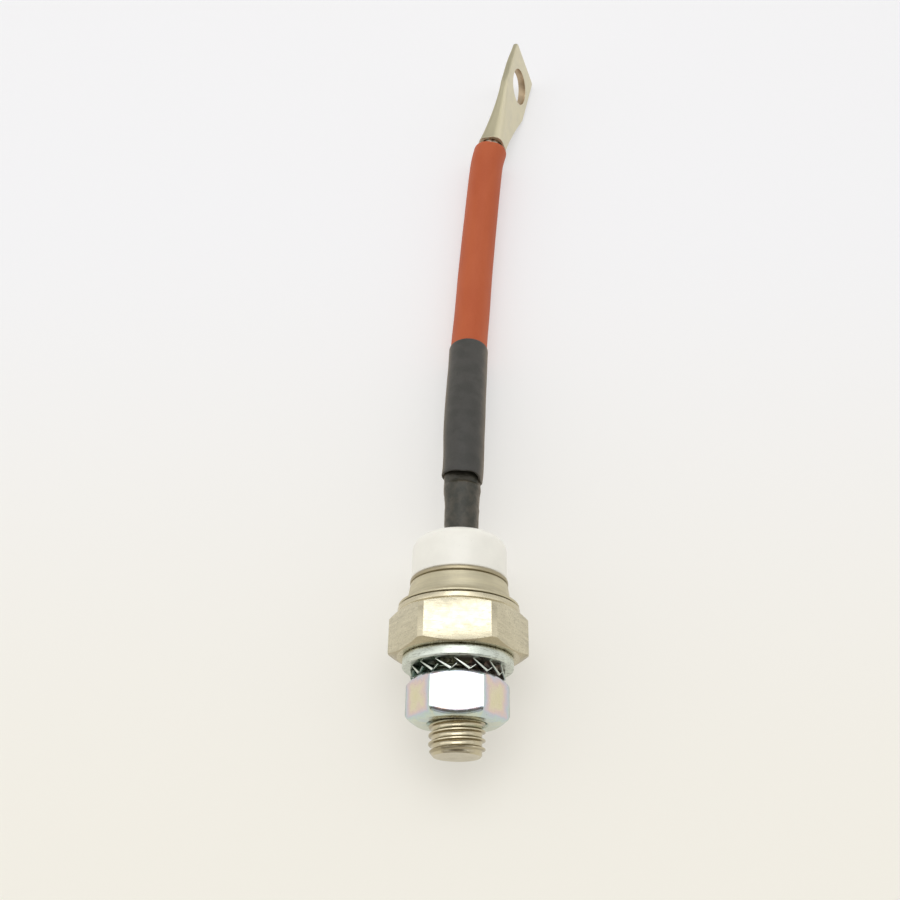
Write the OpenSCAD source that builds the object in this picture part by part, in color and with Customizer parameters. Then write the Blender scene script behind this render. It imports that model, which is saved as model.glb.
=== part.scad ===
// Stud-mount rectifier diode with a flexible lead, lying on one flat of its hexagon.
// The axis of the diode is the Y axis: the stud points to -Y and the lead leaves to +Y.
// The origin is on the axis, in the plane of the face that is bolted to the heat sink.

/* [Base] */
// Width across the flats of the hexagon
hex_af = 27; // [25:0.5:32]
// Diameter to which the corners of the hexagon are turned
hex_corner_d = 30.4; // [29:0.1:36]
// Height of the hexagon, from the mounting face to the shoulder
hex_h = 9.2; // [7.5:0.1:14]
// Slope of the chamfers that end the hexagon, in degrees from the mounting face
hex_chamfer = 24; // [12:1:35]
// Diameter of the mounting face
face_d = 26.4; // [24:0.2:26.6]
// How far the round shoulder above the hexagon lies inside its flats
shoulder_step = 0.05; // [0.05:0.05:0.6]
// Height of the round shoulder
shoulder_h = 1.4; // [0.8:0.1:4]
// Thickness of solid base under the junction
floor_h = 5.4; // [4:0.1:6.4]
// Inner diameter of the cup that holds the junction and its springs
cup_id = 16.4; // [16.2:0.1:17.2]
// Outer diameter of that cup
cup_od = 19; // [18.4:0.1:19.2]

/* [Stud] */
// Thread size, which is the diameter of the stud
stud_d = 12; // [8:0.5:12]
// Length of the stud from the mounting face
stud_len = 20.5; // [17:0.5:40]
// Chamfer at the end of the stud
stud_chamfer = 1; // [0.4:0.1:1.6]
// Diameter of the relief where the thread runs out
relief_d = 9.8; // [6:0.1:11]
// Length of that relief
relief_len = 2; // [1:0.1:2.4]

/* [Housing] */
// Step from the shoulder in to the rim of the housing ring's flange
flange_step = 0.15; // [0:0.05:0.5]
// Thickness of that flange
flange_t = 0.6; // [0.4:0.1:1]
// Height of the weld bead that keeps the flange off the shoulder
bead_h = 0.3; // [0.2:0.05:0.6]
// How far the weld bead reaches past the foot of the band
bead_reach = 0.5; // [0.2:0.1:1]
// Outer diameter of the band at its foot
band_foot_d = 23.2; // [22.6:0.1:24.4]
// Outer diameter of the band at its top
band_top_d = 21.6; // [21.4:0.1:22.6]
// Height of the band above the flange
band_h = 5; // [4.6:0.1:8]
// Radius where the band runs out into the flange
band_fillet = 0.4; // [0.2:0.1:0.8]
// Wall of the band at its top
band_wall = 0.9; // [0.6:0.1:1.1]
// Outer diameter of the ring between band and ceramic
lip_d = 21.9; // [21.6:0.1:23]
// Height of that ring
lip_h = 1; // [0.6:0.1:2]

/* [Ceramic] */
// Outer diameter of the ceramic
ceramic_d = 21.4; // [21:0.1:21.6]
// Height of the ceramic
ceramic_h = 9.8; // [7:0.1:16]
// Radius of its upper edge
ceramic_round = 3; // [1:0.1:4]
// Thickness of its top
ceramic_top = 3.6; // [2:0.1:5]
// Diameter of its cavity
cavity_d = 15; // [13:0.1:17]
// Diameter of the flange of the top ferrule
ferrule_flange_d = 12; // [10:0.1:13]
// Thickness of that flange
ferrule_flange_t = 0.5; // [0.3:0.1:1]
// Wall of the ferrule
ferrule_wall = 0.55; // [0.4:0.05:1]

/* [Junction] */
// Diameter of the disc under the wafer
lower_disc_d = 15; // [14.4:0.1:16]
// Thickness of the disc under the wafer
lower_disc_t = 1; // [0.6:0.1:1.2]
// Diameter of the silicon wafer
wafer_d = 14; // [13:0.1:14.4]
// Thickness of the silicon wafer
wafer_t = 0.4; // [0.25:0.05:0.6]
// Diameter of the disc over the wafer
upper_disc_d = 12; // [10:0.1:12.6]
// Thickness of the disc over the wafer
upper_disc_t = 1; // [0.6:0.1:1.2]
// Height of the rubber ring round the wafer's edge
passivation_h = 0.9; // [0.5:0.1:1.2]
// Width of that ring
passivation_w = 0.8; // [0.4:0.1:0.9]
// Diameter of the foot of the contact stamp
stamp_d = 12.4; // [11:0.1:14]
// Thickness of the foot of the contact stamp
stamp_t = 2; // [1:0.1:2.4]
// Diameter of the stem of the contact stamp
stem_d = 6.6; // [5.6:0.1:6.8]
// Height of the stem above the retaining ring
stem_over = 3; // [1:0.1:3.4]
// Thickness of the mica washer
mica_t = 0.8; // [0.4:0.1:1]
// Thickness of the thrust washer
thrust_t = 1; // [0.6:0.1:1.2]
// Outer diameter of the disc springs
spring_od = 16; // [14:0.1:16]
// Inner diameter of the disc springs
spring_id = 8.2; // [8:0.1:9]
// Thickness of the disc springs
spring_t = 0.9; // [0.5:0.1:0.9]
// Height of one disc spring as pressed
spring_h = 1.15; // [1.1:0.05:1.2]
// Number of disc springs
spring_n = 3; // [3:1:3]
// Thickness of the retaining ring
ring_t = 1; // [0.6:0.1:1.1]
// Inner diameter of the retaining ring
ring_id = 12.6; // [10:0.1:13.4]
// Depth of the groove for the retaining ring
groove_depth = 0.5; // [0.3:0.1:0.7]
// Height of the cup above the retaining ring
cup_lip = 0.8; // [0.4:0.1:1.2]
// Width of the slit in the retaining ring
ring_slit = 3; // [1:0.1:5]
// Diameter of the inner braid
braid_d = 4.4; // [3:0.1:4.4]
// Depth of the hole for the braid in the stem
braid_depth = 4; // [2:0.1:6]

/* [Lead] */
// Outer diameter of the crimp tube
crimp_d = 7; // [6.4:0.1:7]
// Wall of the crimp tube
crimp_wall = 0.7; // [0.5:0.05:1]
// Length of the crimp tube above the ferrule
crimp_out = 10.2; // [8:0.1:14]
// Length of the crimp tube below the ceramic's top
crimp_below = 1; // [0.5:0.1:1.5]
// Height of the end of its lower bore above the ferrule
crimp_seat = 2; // [1:0.1:3]
// Thickness of the web between its two bores
crimp_web = 2; // [1:0.1:3]
// Diameter of the rope
rope_d = 6.3; // [5:0.1:6.3]
// Thickness of the inner sleeve
inner_sleeve_t = 0.3; // [0.2:0.05:0.4]
// Swelling of the inner sleeve past the crimp tube
inner_swell = 0.42; // [0:0.02:0.46]
// Outer diameter of the red sleeve
red_d = 9.6; // [8.6:0.1:9.6]
// Thickness of the red sleeve
red_t = 1.3; // [0.4:0.1:1.3]
// Thickness of the outer sleeve
outer_sleeve_t = 0.31; // [0.2:0.01:0.4]
// Narrowing of the outer sleeve at its free end
outer_narrow = 0.25; // [0:0.05:0.25]
// How far that free end stands above the inner sleeve
mouth_lift = 0.5; // [0:0.1:0.5]
// Flattening of the inner sleeve inside it, as a part of its height
inner_flat = 0.12; // [0:0.02:0.12]

/* [Lug] */
// Width of the barrel of the lug across its pressed sides
barrel_d = 7.6; // [7.6:0.1:10]
// Bore of the barrel
barrel_bore = 6.6; // [6.6:0.1:6.8]
// Depth of that bore
barrel_depth = 6.5; // [4:0.1:7]
// Rounding of the barrel's corners at the mouth
barrel_round = 1.35; // [1:0.05:2.5]
// Distance from the pressed part to the edge of the hole
press_gap = 1.05; // [0.5:0.05:3]
// Distance from the mouth of the barrel to the centre of the hole
hole_at = 24.3; // [23:0.1:32]
// Diameter of the hole
hole_d = 10.5; // [6:0.1:10.5]
// Distance from the centre of the hole to the end of the palm
palm_end = 10.2; // [8:0.1:14]
// Width of the palm
palm_w = 16.1; // [14:0.1:18]
// Thickness of the palm
palm_t = 2.3; // [1.6:0.1:3.4]
// Rounding of the palm's long edges
palm_edge = 0.8; // [0.2:0.1:0.8]
// Rounding of the end of the palm
palm_corner = 0.6; // [0.2:0.1:0.8]
// How far the middle of the palm lies beside the axis of the barrel
palm_shift = 0.5; // [0:0.1:1.5]

/* [Nut and washers] */
// Outer diameter of the plain washer
washer_d = 24; // [21:0.5:26]
// Thickness of the plain washer
washer_t = 2.5; // [1.5:0.1:3]
// Height of the lock washer as tightened
lock_h = 1.9; // [1.5:0.1:2.6]
// Outer diameter of the lock washer
lock_d = 20.5; // [18.5:0.1:21]
// Thickness of the sheet of the lock washer
lock_t = 0.8; // [0.5:0.1:1]
// Number of teeth on the lock washer
lock_teeth = 16; // [10:1:16]
// Twist of each tooth, in degrees
lock_twist = 32; // [20:1:36]
// Angle of the row of teeth, in degrees
lock_phase = -5.4; // [-11:0.1:11]
// Length of a tooth round the rim
lock_tooth_len = 4.8; // [3:0.1:5]
// Width of the closed ring of the lock washer
lock_ring_w = 1.7; // [1:0.1:2]
// Width across the flats of the nut
nut_af = 19; // [18:0.5:20]
// Height of the nut
nut_h = 9.6; // [8:0.1:10.5]
// Slope of the nut's chamfers, in degrees
nut_chamfer = 30; // [15:1:32]

/* [Fits] */
// Radial clearance between pieces that slide into each other
fit = 0.1; // [0.05:0.05:0.15]
// Radial clearance of stud holes in washers
stud_play = 0.5; // [0.3:0.05:0.8]
// Radial clearance between swept sleeves
sleeve_fit = 0.05; // [0.02:0.01:0.08]

/* [Hidden] */

// Smoothness of what is turned, and points in one rounded corner
round_fn = 96;
arc_n = 8;

// What a cutting piece reaches past the face that it cuts
over = 1;

// Heights along the axis, from the mounting face
shoulder_top = hex_h + shoulder_h;
flange_y = shoulder_top + bead_h;
band_y = flange_y + flange_t;
lip_y = band_y + band_h;
ceramic_y = lip_y + lip_h;
ceramic_end = ceramic_y + ceramic_h;
ferrule_end = ceramic_end + ferrule_flange_t;
crimp_y = ceramic_end - ceramic_top - crimp_below;
crimp_end = ferrule_end + crimp_out;
crimp_mid = ferrule_end + crimp_seat;

// Heights of the stack in the cup
wafer_y = floor_h + lower_disc_t;
upper_y = wafer_y + wafer_t;
stamp_y = upper_y + upper_disc_t;
mica_y = stamp_y + stamp_t;
thrust_y = mica_y + mica_t;
spring_y = thrust_y + thrust_t;
ring_y = spring_y + spring_n * spring_h;
cup_end = ring_y + ring_t + cup_lip;
stem_end = ring_y + ring_t + stem_over;
braid_y = stem_end - braid_depth;

// Nut and washers, down the stud
lock_y = -washer_t;
nut_y = lock_y - lock_h;
washer_id = stud_d + 2 * stud_play;

// Radii of the swept pieces, at the corners of their twelve sides
sweep_n = 12;
sweep_k = cos(180 / sweep_n);
rope_r = rope_d / 2;
shoulder_r = hex_af / 2 - shoulder_step;
inner_bore_r = (max(crimp_d, rope_d) / 2 + 0.02) / sweep_k;
inner_r = inner_bore_r + inner_sleeve_t;
red_r = red_d / 2 / (1 + sweep_k) * 2;
outer_bore_r = red_r + sleeve_fit;
outer_r = outer_bore_r + outer_sleeve_t;

// Route of the lead, from the end of the crimp tube: straight out, down to the surface and along it
route = [[0, 0, 0], [0.02, 3, 0], [0.5, 6.5, 0], [0.65, 12, -0.2], [0.65, 17, -0.7], [0.75, 22, -1.5],
         [0.9, 28, -2.8], [1.1, 34, -4.3], [1.3, 40, -5.7], [1.5, 46, -6.9], [1.8, 52, -7.7],
         [2.2, 58, -8.2], [2.6, 65, -8.5], [3, 72, -8.5], [3.5, 79, -8.5], [4, 86, -8.4],
         [4.55, 93, -8.2], [5.1, 100, -7.9], [5.7, 107, -7.6], [6.3, 113, -7.4], [7.05, 117.5, -7.4],
         [7.85, 119.9, -7.4], [8.5, 122.8, -7.4], [9.1, 125.7, -7.35]];
route_from = [0, crimp_end, 0];
// Places on the route where the sleeves and the rope end
inner_to = 3.8;
outer_from = 1.7;
outer_to = 9;
red_from = 5.5;
red_to = 20;
lug_mouth = 21;
mouth_span = 1.6;
steps = 2;

// Attitude of the lug, in degrees: its heading, its climb and how far the palm leans
lug_turn = [1, 0, -12];
lug_lean = -19.5;

function mix(a, b, t) = a + (b - a) * t;
function smooth(t) = let (u = max(0, min(1, t))) u * u * (3 - 2 * u);

// A point on the smooth curve through the route, at place t counted in points
function knot(i) = route[max(0, min(len(route) - 1, i))];
function on_route(t) =
    let (i = min(floor(t), len(route) - 2), u = t - i)
    let (a = knot(i - 1), b = knot(i), c = knot(i + 1), d = knot(i + 2))
    route_from + 0.5 * (2 * b + (c - a) * u + (2 * a - 5 * b + 4 * c - d) * u * u
                        + (3 * b - a - 3 * c + d) * u * u * u);
function heading(t) =
    let (v = on_route(min(t + 0.05, len(route) - 1)) - on_route(max(t - 0.05, 0)))
    v / norm(v);

// Places of the rings of a piece that runs from place a to place b
function places(a, b) =
    let (inside = [for (i = [ceil(a * steps + 0.2) : floor(b * steps - 0.2)]) i / steps])
    concat([a], inside, [b]);

// One ring of the swept pieces, square to the route: tall scales its height, and lift raises it
function ring_at(t, r, tall = 1, lift = 0) =
    let (v = heading(t), side = cross(v, [0, 0, 1]) / norm(cross(v, [0, 0, 1])), up = cross(side, v))
    [for (k = [0 : sweep_n - 1])
        let (a = (k + 0.5) * 360 / sweep_n)
        on_route(t) + r * cos(a) * side + (r * tall * sin(a) + lift) * up];

// Faces between the rows of a lofted skin of m rows with n points each
function skin_faces(m, n) =
    [for (i = [0 : m - 2], k = [0 : n - 1]) each
        let (a = i * n + k, b = i * n + (k + 1) % n) [[a, b + n, a + n], [a, b, b + n]]];
function fan(from, n, turned) =
    [for (k = [1 : n - 2]) turned ? [from, from + k, from + k + 1] : [from, from + k + 1, from + k]];

// Solid lofted through rows of points
module loft(rows)
{
    m = len(rows);
    n = len(rows[0]);
    polyhedron([for (row = rows) each row],
               concat(skin_faces(m, n), fan(0, n, false), fan((m - 1) * n, n, true)));
}

// Closed tube lofted between an outer and an inner list of rows
module tube_loft(outer, inner)
{
    loop = concat(outer, [for (i = [len(inner) - 1 : -1 : 0]) inner[i]]);
    m = len(loop);
    n = len(loop[0]);
    closing = [for (k = [0 : n - 1]) each
        let (a = (m - 1) * n + k, b = (m - 1) * n + (k + 1) % n, c = k, d = (k + 1) % n)
        [[a, d, c], [a, b, d]]];
    polyhedron([for (row = loop) each row], concat(skin_faces(m, n), closing));
}

// Stands a piece that was drawn upright along the axis of the diode
module on_axis(y = 0)
{
    translate([0, y, 0]) rotate([-90, 0, 0]) children();
}

// Turned piece with a given half section
module turned(section)
{
    rotate_extrude($fn = round_fn) polygon(section);
}

// Round disc with a hole
module washer_disc(od, id, t)
{
    difference() {
        cylinder(d = od, h = t, $fn = round_fn);
        translate([0, 0, -over]) cylinder(d = id, h = t + 2 * over, $fn = round_fn);
    }
}

// Points of an arc, for a turned section
function arc(cx, cy, r, from, to) =
    [for (i = [0 : arc_n]) let (a = mix(from, to, i / arc_n)) [cx + r * cos(a), cy + r * sin(a)]];

// Hexagonal bar with both ends chamfered by cones, from the upright height 0 to h
module chamfered_hex(af, corner_d, h, low_d, top_d, slope)
{
    reach = corner_d / 2;
    low = (reach - low_d / 2) * tan(slope);
    top = (reach - top_d / 2) * tan(slope);
    intersection() {
        cylinder(d = af / cos(30), h = h, $fn = 6);
        turned([[0, 0], [low_d / 2, 0], [reach, low], [reach, h - top], [top_d / 2, h], [0, h]]);
    }
}

module base_stud()
{
    groove_r = cup_id / 2 + groove_depth;
    tip_r = stud_d / 2 - stud_chamfer;
    relief_ramp = (stud_d - relief_d) / 2;
    color([0.79, 0.76, 0.68]) on_axis() {
        difference() {
            union() {
                chamfered_hex(hex_af, hex_corner_d, hex_h, face_d, 2 * shoulder_r, hex_chamfer);
                translate([0, 0, hex_h - over])
                    cylinder(r = shoulder_r, h = shoulder_h + over, $fn = round_fn);
                translate([0, 0, hex_h]) cylinder(d = cup_od, h = cup_end - hex_h, $fn = round_fn);
            }
            turned([[0, floor_h], [cup_id / 2, floor_h], [cup_id / 2, ring_y - fit],
                    [groove_r, ring_y - fit], [groove_r, ring_y + ring_t + fit],
                    [cup_id / 2, ring_y + ring_t + fit], [cup_id / 2, cup_end + over],
                    [0, cup_end + over]]);
        }
        turned([[0, -stud_len], [tip_r, -stud_len], [stud_d / 2, stud_chamfer - stud_len],
                [stud_d / 2, -relief_len - relief_ramp], [relief_d / 2, -relief_len],
                [relief_d / 2, over], [0, over]]);
    }
}

module housing_ring()
{
    inner_top = band_top_d / 2 - band_wall;
    inner_foot = band_foot_d / 2 - band_wall;
    bead_r = inner_foot + band_wall + bead_reach;
    rim_r = shoulder_r - flange_step;
    color([0.76, 0.73, 0.64]) on_axis()
        turned(concat([[inner_foot, shoulder_top], [bead_r, shoulder_top], [bead_r, flange_y],
                       [rim_r, flange_y], [rim_r, band_y]],
                      arc(band_foot_d / 2 + band_fillet, band_y + band_fillet, band_fillet, 270, 180),
                      [[band_top_d / 2, lip_y], [inner_top, lip_y], [inner_foot, flange_y]]));
}

module cap_flange()
{
    r = lip_h * 0.3;
    color([0.66, 0.63, 0.52]) on_axis(lip_y)
        turned(concat([[cup_od / 2 + 2 * fit, 0]],
                      arc(lip_d / 2 - r, r, r, -90, 0), arc(lip_d / 2 - r, lip_h - r, r, 0, 90),
                      [[cup_od / 2 + 2 * fit, lip_h]]));
}

module ceramic_insulator()
{
    r = ceramic_d / 2;
    bore = crimp_d / 2 + 2 * fit + ferrule_wall;
    color([0.95, 0.95, 0.91]) on_axis(ceramic_y)
        turned(concat([[cavity_d / 2, 0], [r, 0]],
                      arc(r - ceramic_round, ceramic_h - ceramic_round, ceramic_round, 0, 90),
                      [[bore, ceramic_h], [bore, ceramic_h - ceramic_top],
                       [cavity_d / 2, ceramic_h - ceramic_top]]));
}

module top_ferrule()
{
    bore = crimp_d / 2 + fit;
    wall = bore + ferrule_wall;
    color([0.72, 0.7, 0.62]) on_axis()
        turned([[bore, crimp_y], [wall, crimp_y], [wall, ceramic_end],
                [ferrule_flange_d / 2, ceramic_end], [ferrule_flange_d / 2, ferrule_end],
                [bore, ferrule_end]]);
}

module crimp_tube()
{
    bore = crimp_d / 2 - crimp_wall;
    color([0.75, 0.5, 0.35]) on_axis()
        difference() {
            translate([0, 0, crimp_y]) cylinder(d = crimp_d, h = crimp_end - crimp_y, $fn = round_fn);
            translate([0, 0, crimp_y - over])
                cylinder(r = bore, h = crimp_mid - crimp_y + over, $fn = round_fn);
            translate([0, 0, crimp_mid + crimp_web])
                cylinder(r = bore, h = crimp_end - crimp_mid, $fn = round_fn);
        }
}

module lower_disc()
{
    color([0.6, 0.6, 0.62]) on_axis(floor_h)
        cylinder(d = lower_disc_d, h = lower_disc_t, $fn = round_fn);
}

// The wafer's edge is ground to a shallow slope
module silicon_wafer()
{
    slope = wafer_t;
    color([0.3, 0.32, 0.38]) on_axis(wafer_y)
        cylinder(d1 = wafer_d, d2 = wafer_d - 2 * slope, h = wafer_t, $fn = round_fn);
}

module passivation_ring()
{
    id = wafer_d + 2 * fit;
    color([0.75, 0.3, 0.25]) on_axis(wafer_y) washer_disc(id + 2 * passivation_w, id, passivation_h);
}

module upper_disc()
{
    color([0.62, 0.62, 0.64]) on_axis(upper_y)
        cylinder(d = upper_disc_d, h = upper_disc_t, $fn = round_fn);
}

module contact_stamp()
{
    color([0.78, 0.5, 0.34]) on_axis()
        difference() {
            turned([[0, stamp_y], [stamp_d / 2, stamp_y], [stamp_d / 2, mica_y],
                    [stem_d / 2, mica_y], [stem_d / 2, stem_end], [0, stem_end]]);
            translate([0, 0, braid_y])
                cylinder(d = braid_d + 2 * fit, h = braid_depth + over, $fn = round_fn);
        }
}

module insulating_washer()
{
    color([0.8, 0.76, 0.6]) on_axis(mica_y)
        washer_disc(cup_id - 4 * fit, stem_d + 2 * fit, mica_t);
}

module thrust_washer()
{
    color([0.6, 0.6, 0.58]) on_axis(thrust_y) washer_disc(cup_id - 4 * fit, spring_id, thrust_t);
}

// Shallow cone of spring steel: every second spring lies the other way up
module disc_spring(i)
{
    dish = spring_h - spring_t;
    low = i % 2 == 0 ? 0 : dish;
    rise = i % 2 == 0 ? dish : 0;
    color([0.5, 0.5, 0.52]) on_axis(spring_y + i * spring_h)
        turned([[spring_id / 2, rise], [spring_od / 2, low],
                [spring_od / 2, low + spring_t], [spring_id / 2, rise + spring_t]]);
}

module disc_spring_1() { disc_spring(0); }
module disc_spring_2() { disc_spring(1); }
module disc_spring_3() { disc_spring(2); }

module retaining_ring()
{
    color([0.45, 0.46, 0.48]) on_axis(ring_y)
        difference() {
            washer_disc(cup_id + 2 * groove_depth - 2 * fit, ring_id, ring_t);
            translate([0, -ring_slit / 2, -over]) cube([cup_id, ring_slit, ring_t + 2 * over]);
        }
}

module centring_sleeve()
{
    color([0.92, 0.92, 0.9]) on_axis(thrust_y)
        washer_disc(spring_id - 2 * fit, stem_d + 2 * fit, ring_y + ring_t - thrust_y);
}

module inner_braid()
{
    color([0.76, 0.46, 0.3]) on_axis(braid_y)
        cylinder(d = braid_d, h = crimp_mid - braid_y, $fn = round_fn);
}

// The rope: its pressed end fills the crimp tube, and the rest follows the route into the lug
module lead_rope()
{
    stub_r = crimp_d / 2 - crimp_wall - fit;
    stub_y = crimp_mid + crimp_web;
    color([0.78, 0.52, 0.38]) {
        on_axis(stub_y) cylinder(r = stub_r, h = crimp_end - stub_y + over, $fn = round_fn);
        loft([for (t = places(0, len(route) - 1)) ring_at(t, rope_r)]);
    }
}

// The inner sleeve starts on the ferrule, hugs the crimp tube and swells over the rope
function inner_radius(t) = inner_r + inner_swell * smooth(t + 0.6) * (1 - 0.5 * smooth(t - 1.5));
function inner_tall(t) = 1 - inner_flat * smooth(t - 0.9);
module inner_sleeve()
{
    start = [0, ferrule_end + fit, 0] - route_from;
    on_tube = [for (y = [start.y, start.y * 0.7, start.y * 0.4])
        [for (k = [0 : sweep_n - 1]) let (a = (k + 0.5) * 360 / sweep_n)
            [cos(a), 0, sin(a)] + [0, y, 0]]];
    at = places(0, inner_to);
    function tube_row(row, r) = [for (p = row) route_from + [p.x * r, p.y, p.z * r]];
    color([0.2, 0.2, 0.19])
        tube_loft(concat([for (row = on_tube) tube_row(row, inner_radius(row[0].y / 5))],
                         [for (t = at) ring_at(t, inner_radius(t), inner_tall(t))]),
                  concat([for (row = on_tube) tube_row(row, inner_bore_r)],
                         [for (t = at) ring_at(t, inner_bore_r, inner_tall(t))]));
}

module outer_sleeve()
{
    at = places(outer_from, outer_to);
    function narrow(t) = outer_narrow * (1 - smooth((t - outer_from) / (red_from - outer_from - 0.2)));
    function lift(t) = mouth_lift * (1 - smooth((t - outer_from) / mouth_span));
    color([0.21, 0.21, 0.2])
        tube_loft([for (t = at) ring_at(t, outer_r - narrow(t), 1, lift(t))],
                  [for (t = at) ring_at(t, outer_bore_r - narrow(t), 1, lift(t))]);
}

module red_sleeve()
{
    at = places(red_from, red_to);
    color([0.72, 0.36, 0.22])
        tube_loft([for (t = at) ring_at(t, red_r)], [for (t = at) ring_at(t, red_r - red_t)]);
}

// One row of the lug: a box with rounded corners, w across the palm and t through it
corner_n = 5;
press_rows = 14;
corner_rows = 4;
thin_power = 1.3;
widen_power = 1.45;
function lug_row(y, t, w, r, shift) =
    let (near = barrel_d / 2, cx = near - t / 2)
    [for (q = [0 : 3], i = [0 : corner_n])
        let (a = 90 * q + 90 * i / corner_n)
        let (sx = (q == 0 || q == 3) ? 1 : -1, sz = q < 2 ? 1 : -1)
        [cx + sx * (t / 2 - r) + r * cos(a), y, shift + sz * (w / 2 - r) + r * sin(a)]];

// The lug, with the mouth of its barrel at the origin and its palm towards +Y
module lug_blank()
{
    flat_from = hole_at - hole_d / 2 - press_gap;
    end = hole_at + palm_end;
    pressed = [for (i = [0 : press_rows]) let (s = i / press_rows)
        lug_row(flat_from * s, mix(palm_t, barrel_d, pow(1 - s, thin_power)),
                mix(barrel_d, palm_w, pow(s, widen_power)), mix(barrel_round, palm_edge, s),
                palm_shift * (1 - pow(1 - s, 2)))];
    rounded = [for (i = [0 : corner_rows])
        let (a = 90 * i / corner_rows, cut = 2 * palm_corner * (1 - cos(a)))
        lug_row(end - palm_corner * (1 - sin(a)), palm_t - cut, palm_w - cut,
                min(palm_edge, (palm_t - cut) / 2 - fit), palm_shift)];
    loft(concat(pressed, rounded));
}

module cable_lug()
{
    color([0.78, 0.75, 0.66])
        translate(on_route(lug_mouth)) rotate(lug_turn) rotate([0, lug_lean, 0])
        difference() {
            lug_blank();
            rotate([-90, 0, 0]) translate([0, 0, -over])
                cylinder(d = barrel_bore, h = barrel_depth + over, $fn = round_fn);
            translate([-barrel_d, hole_at, palm_shift]) rotate([0, 90, 0])
                cylinder(d = hole_d, h = 2 * barrel_d, $fn = round_fn);
        }
}

module plain_washer()
{
    edge = 0.2;
    r = washer_d / 2;
    color([0.72, 0.74, 0.76]) on_axis(-washer_t)
        turned([[washer_id / 2, 0], [r - edge, 0], [r, edge], [r, washer_t - edge],
                [r - edge, washer_t], [washer_id / 2, washer_t]]);
}

// Room between the plain washer and the nut, which is wider outside the nut's bearing face
module lock_room()
{
    bearing = nut_af / 2 * 0.95;
    drop = (lock_d / 2 - bearing) * tan(nut_chamfer) - fit;
    turned([[washer_id / 2, 0], [bearing, 0], [lock_d / 2, -drop], [lock_d / 2, lock_h],
            [washer_id / 2, lock_h]]);
}

// Closed ring with twisted teeth that overlap like a fan
module lock_washer()
{
    ring_r = washer_id / 2 + lock_ring_w;
    color([0.62, 0.65, 0.66]) on_axis(nut_y) {
        translate([0, 0, (lock_h - lock_t) / 2]) washer_disc(2 * ring_r, washer_id, lock_t);
        intersection() {
            lock_room();
            for (i = [0 : lock_teeth - 1])
                rotate([0, 0, (i + 0.5) * 360 / lock_teeth + lock_phase])
                    translate([ring_r - 0.4, 0, lock_h / 2])
                    rotate([-lock_twist, 0, 0])
                    translate([0, -lock_tooth_len / 2, -lock_t / 2])
                    cube([lock_d / 2 - ring_r + over, lock_tooth_len, lock_t]);
        }
    }
}

module hex_nut()
{
    bore = stud_d / 2 + fit;
    sink = 0.6;
    bearing_d = nut_af * 0.95;
    color([0.74, 0.72, 0.74]) on_axis(nut_y - nut_h)
        difference() {
            chamfered_hex(nut_af, nut_af / cos(30), nut_h, bearing_d, bearing_d, nut_chamfer);
            turned([[0, -over], [bore + sink + over, -over], [bore, sink], [bore, nut_h - sink],
                    [bore + sink + over, nut_h + over], [0, nut_h + over]]);
        }
}

base_stud();
housing_ring();
cap_flange();
ceramic_insulator();
top_ferrule();
crimp_tube();
lower_disc();
silicon_wafer();
passivation_ring();
upper_disc();
contact_stamp();
insulating_washer();
thrust_washer();
disc_spring_1();
disc_spring_2();
disc_spring_3();
retaining_ring();
centring_sleeve();
inner_braid();
lead_rope();
inner_sleeve();
outer_sleeve();
red_sleeve();
cable_lug();
plain_washer();
lock_washer();
hex_nut();
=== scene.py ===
from math import atan2, ceil, cos, hypot, pi, radians, sin, sqrt, tan

import bmesh
import bpy
from mathutils import Matrix, Vector, noise


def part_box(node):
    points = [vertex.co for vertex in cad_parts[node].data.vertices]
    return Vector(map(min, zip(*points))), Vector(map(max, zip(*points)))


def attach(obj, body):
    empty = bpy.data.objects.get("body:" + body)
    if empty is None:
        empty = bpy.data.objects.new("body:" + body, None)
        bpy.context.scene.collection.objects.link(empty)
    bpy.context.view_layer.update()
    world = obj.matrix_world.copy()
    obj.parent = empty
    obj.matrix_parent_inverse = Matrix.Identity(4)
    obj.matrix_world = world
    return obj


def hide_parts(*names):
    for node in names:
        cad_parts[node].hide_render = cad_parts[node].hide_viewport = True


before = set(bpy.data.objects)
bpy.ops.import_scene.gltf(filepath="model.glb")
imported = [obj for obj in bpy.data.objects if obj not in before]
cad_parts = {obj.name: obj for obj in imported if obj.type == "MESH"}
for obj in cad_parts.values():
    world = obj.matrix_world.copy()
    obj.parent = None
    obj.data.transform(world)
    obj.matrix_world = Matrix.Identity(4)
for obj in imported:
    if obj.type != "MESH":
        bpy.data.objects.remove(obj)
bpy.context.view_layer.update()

# Sizes are in millimetres, and each finished piece is scaled to metres.
MM = 0.001
TURN = 2 * pi

# What the photograph's frame and lens say about the camera
PHOTO_PX = 900
FOCAL_PX = 963.2
CAMERA_DISTANCE = 231.23
CAMERA_TARGET = Vector((-2.655, 50.961, 0))
CAMERA_ELEVATION = radians(61.709)
CAMERA_HEADING = radians(-3.488)
CAMERA_ROLL = radians(-2.785)


def mix(a, b, t):
    return a + (b - a) * t


def smooth(t):
    t = max(0.0, min(1.0, t))
    return t * t * (3 - 2 * t)


def near(x, centre, width):
    """A smooth bump of height 1 at centre, which has gone at that width on either side."""
    return smooth(1 - abs(x - centre) / width)


def extent(node):
    low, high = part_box(node)
    return low / MM, high / MM


def placed(name, data):
    """A new object in the scene with that data."""
    made = bpy.data.objects.new(name, data)
    bpy.context.scene.collection.objects.link(made)
    return made


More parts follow.
